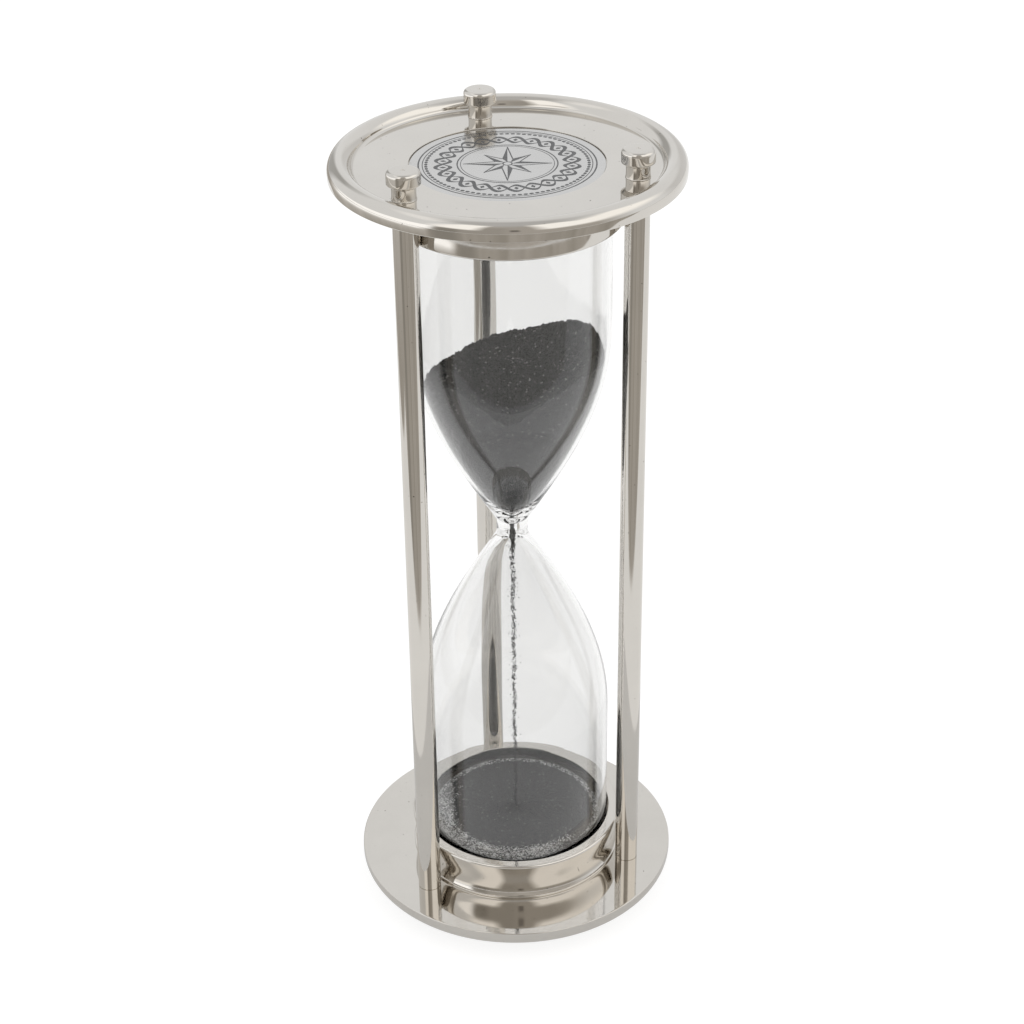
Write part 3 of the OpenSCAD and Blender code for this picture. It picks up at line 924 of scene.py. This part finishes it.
def rose_point(deg, tip, shoulder):
    """One point of the rose: the left half is filled, the right half is a thin outline.
    Each half is a triangle from the middle to a shoulder and out to the tip."""
    corner = shoulder * np.array([math.cos(math.pi / 8), math.sin(math.pi / 8)])
    filled = np.array([(0.9, 0.0), (tip, 0.0), corner])
    line = 0.14
    edge = np.array([corner[0] - tip, -corner[1]])
    side = np.array([-edge[1], edge[0]]) / np.hypot(*edge) * line
    a, b = np.array([tip, 0.0]), corner * (1, -1)
    rim = np.array([a - side, a + side, b + side, b - side])
    rim = rim if np.cross(rim[1] - rim[0], rim[2] - rim[1]) > 0 else rim[::-1]
    return [slab(placed(filled, deg)), slab(placed(rim, deg))]


for i in range(8):
    drawing += rose_point(90 + 45 * i, (9.4, 7.0)[i % 2], 2.9)
drawing.append(plain_ring(0.95, 0.3))
black_fill, shader = new_finish("black_fill", {"IOR": 1.5, "Coat Weight": 0.2})
tree = black_fill.node_tree
patchy = cloud(tree, places_on(tree), 900, 4, 0.6)
tone = two_tone(tree, patchy, (0.028, 0.028, 0.030, 1), (0.075, 0.075, 0.078, 1))
plug(black_fill, shader, {
    "Base Color": tone,
    "Roughness": spread(tree, patchy, 0.3, 0.7, 0.30, 0.55),
    "Normal": dent(tree, patchy, 0.01 * mm),
})
make_piece("medal_drawing", "emblem_inlay", black_fill, drawing)

# %% [markdown]
# ## The studio
# A mirror only shows what is around it, so polished metal is lit by its surroundings. The
# timer stands on a white sheet. In front of the sheet and to its left lies a warm grey
# table. The room behind the eye is dim; a wide window fills the left, a soft lamp the upper
# right, and the wall behind the timer is white. Only reflections see those, so they colour
# the metal and leave the white sheet white. The sky is painted in patches, each between
# four bearings and four heights; the later ones lie over the earlier ones.

# %% Floor
paper, shader = new_finish("paper", {"Roughness": 0.9, "Specular IOR Level": 0.0})
# The sheet also glows evenly at 0.8, as painted light that fills in the shadow the timer casts on
# it. To reflections it glows at 0.55 of that, a painted shade of the sheet round the timer.
shader.inputs["Emission Strength"].default_value = 0.8
tree = paper.node_tree
mirrored = add_step(tree, "LightPath").outputs["Is Reflection Ray"]
fibre = cloud(tree, places_on(tree), 300, 4)
plug(paper, shader, {
    "Base Color": two_tone(tree, fibre, (0.29, 0.29, 0.29, 1), (0.31, 0.31, 0.31, 1)),
    "Emission Color": two_tone(tree, mirrored, (1, 1, 1, 1), (0.55, 0.55, 0.55, 1)),
})
sheet = np.array([(-4000, -4000, 0), (4000, -4000, 0), (4000, 4000, 0), (-4000, 4000, 0)], float)
sheet_face = (sheet, np.array([[0, 1, 2, 3]]), np.zeros((0, 3), int))
floor = bpy.data.objects.new("floor", fill_mesh("floor", [sheet_face]))
floor.data.materials.append(paper)
scene.collection.objects.link(floor)
print("floor", floor.dimensions[:])


# %% Cards that only reflections see
def glow(name, colour_from):
    """A plain glowing material whose colour comes from a function that adds the nodes."""
    finish = bpy.data.materials.new(name)
    finish.use_nodes = True
    tree = finish.node_tree
    tree.nodes.clear()
    lamp = add_step(tree, "Emission", {"Color": colour_from(tree), "Strength": 1.0})
    out = add_step(tree, "OutputMaterial")
    tree.links.new(lamp.outputs[0], out.inputs["Surface"])
    return finish


def hide_from_all_but_gloss(card):
    """The card is seen in reflections only, and throws no shadow."""
    card.visible_camera = card.visible_diffuse = card.visible_transmission = False
    card.visible_shadow = card.visible_volume_scatter = False


def bearing_of(tree, x, y):
    """Degrees round the axis of a direction: 0 towards the eye, positive to the right."""
    towards = add_step(tree, "Math", {0: y, 1: -1.0}, operation="MULTIPLY").outputs[0]
    angle = add_step(tree, "Math", {0: x, 1: towards}, operation="ARCTAN2").outputs[0]
    return add_step(tree, "Math", {0: angle}, operation="DEGREES").outputs[0]


def between(tree, value, start, full, fade, end):
    """1 between full and fade, falling to 0 at start and at end."""
    inwards = spread(tree, value, start, full, 0.0, 1.0)
    outwards = spread(tree, value, fade, end, 1.0, 0.0)
    return add_step(tree, "Math", {0: inwards, 1: outwards}, operation="MULTIPLY").outputs[0]


def surround(tree):
    """White sheet up to its front and left edges; beyond them a warm grey table whose tone
    drifts with the bearing, with one dark streak, and the shine of the window on the left."""
    spot = add_step(tree, "TexCoord").outputs["Object"]
    parts = add_step(tree, "SeparateXYZ", {"Vector": spot})
    x, y = parts.outputs[0], parts.outputs[1]
    bearing = bearing_of(tree, x, y)
    drift = add_step(tree, "TexNoise", {"W": bearing, "Scale": 0.09, "Detail": 4.0},
                     noise_dimensions="1D").outputs["Fac"]
    table = two_tone(tree, spread(tree, drift, 0.35, 0.65, 0, 1),
                     (0.39, 0.365, 0.325, 1), (0.50, 0.47, 0.43, 1))
    table = two_tone(tree, between(tree, bearing, -50, -44, -34, -27), table, (0.33, 0.31, 0.28, 1))
    away = add_step(tree, "VectorMath", {0: spot}, operation="LENGTH").outputs["Value"]
    shine = add_step(tree, "Math", {
        0: between(tree, bearing, -140, -124, -56, -48),
        1: spread(tree, away, 0.32, 1.1, 0.0, 1.0),
    }, operation="MULTIPLY").outputs[0]
    table = two_tone(tree, shine, table, (1.45, 1.45, 1.45, 1))
    front = spread(tree, y, -0.158, -0.146, 1.0, 0.0)
    side = spread(tree, x, -0.275, -0.262, 1.0, 0.0)
    off = add_step(tree, "Math", {0: front, 1: side}, operation="MAXIMUM").outputs[0]
    return two_tone(tree, off, (0.96, 0.96, 0.955, 1), table)


rim = np.array([(r, 0.4) for r in (95, 150, 200, 260, 400, 900, 2500)], float)
points, quads, tris = stitch(turned(rim, 96))
card = bpy.data.objects.new("surround_card", fill_mesh("surround_card", [(points, quads, tris)]))
card.data.materials.append(glow("surround_glow", surround))
scene.collection.objects.link(card)
hide_from_all_but_gloss(card)
print("surround card from 95 to 2500 mm")

# %% Light
world = bpy.data.worlds.new("studio")
scene.world = world
world.use_nodes = True
tree = world.node_tree
back = tree.nodes["Background"]
spot = add_step(tree, "TexCoord").outputs["Generated"]
parts = add_step(tree, "SeparateXYZ", {"Vector": spot})
bearing = bearing_of(tree, parts.outputs[0], parts.outputs[1])
rise = add_step(tree, "Math", {0: parts.outputs[2]}, operation="ARCSINE").outputs[0]
rise = add_step(tree, "Math", {0: rise}, operation="DEGREES").outputs[0]
tilted = {0: bearing, 1: -0.3125, 2: -40.6}
tilted = add_step(tree, "Math", tilted, operation="MULTIPLY_ADD").outputs[0]
tilted = add_step(tree, "Math", {0: rise, 1: tilted}, operation="ADD").outputs[0]


def patch_of(sky, sides, heights, colour, height=rise):
    """Paints one soft-edged patch on the sky: four bearings and four heights, in degrees."""
    across = between(tree, bearing, *sides)
    along = between(tree, height, *heights)
    share = add_step(tree, "Math", {0: across, 1: along}, operation="MULTIPLY").outputs[0]
    return two_tone(tree, share, sky, colour)


in_front = between(tree, bearing, -50, -43, 56, 84)
sky = two_tone(tree, in_front, (0.94, 0.95, 0.96, 1), (0.52, 0.49, 0.45, 1))
sky = patch_of(sky, (-46, -40, -6, 4), (-10, 0, 45, 60), (0.44, 0.415, 0.38, 1))
sky = patch_of(sky, (110, 125, 168, 176), (-10, 0, 18, 26), (0.78, 0.78, 0.78, 1))
sky = patch_of(sky, (-168, -160, -148, -138), (-10, 0, 28, 42), (0.50, 0.50, 0.49, 1))
sky = patch_of(sky, (38, 66, 110, 124), (16, 34, 56, 68), (1.38, 1.36, 1.32, 1))
sky = patch_of(sky, (-140, -124, -52, -46), (-50, -24, -1, 1), (1.5, 1.5, 1.5, 1), tilted)
sky = patch_of(sky, (-190, -189, 189, 190), (56, 76, 100, 110), (0.62, 0.62, 0.62, 1))
sky = patch_of(sky, (-58, -46, -26, -16), (22, 32, 66, 74), (1.40, 1.38, 1.35, 1))
sky = patch_of(sky, (16, 28, 60, 70), (22, 32, 66, 74), (1.40, 1.38, 1.35, 1))
sky = patch_of(sky, (-150, -125, -85, -65), (50, 58, 64, 74), (1.12, 1.12, 1.12, 1))
sky = patch_of(sky, (-48, -42, -34, -28), (-10, -5, 18, 28), (0.33, 0.31, 0.28, 1))
sky = patch_of(sky, (0, 2, 6, 8), (16, 20, 32, 36), (0.24, 0.22, 0.20, 1))
gloss = add_step(tree, "LightPath").outputs["Is Reflection Ray"]
tree.links.new(two_tone(tree, gloss, (1.08, 1.08, 1.08, 1), sky), back.inputs["Color"])
back.inputs["Strength"].default_value = 1.0
print("world set")

# %% [markdown]
# ## Colour and light paths
# Plain display colours keep the white sheet white. Glass needs many bounces: a ray that
# crosses both walls of the bulb, the sand and the walls again has used eight of them.

# %% Render choices
scene.view_settings.view_transform = "Standard"
scene.view_settings.look = "None"
scene.cycles.use_denoising = True
scene.cycles.max_bounces = 24
scene.cycles.transmission_bounces = 24
scene.cycles.glossy_bounces = 12
scene.cycles.diffuse_bounces = 5
scene.cycles.transparent_max_bounces = 16
scene.cycles.caustics_reflective = True
scene.cycles.caustics_refractive = True
scene.cycles.blur_glossy = 0.3
scene.cycles.sample_clamp_indirect = 6.0
print("light paths set")
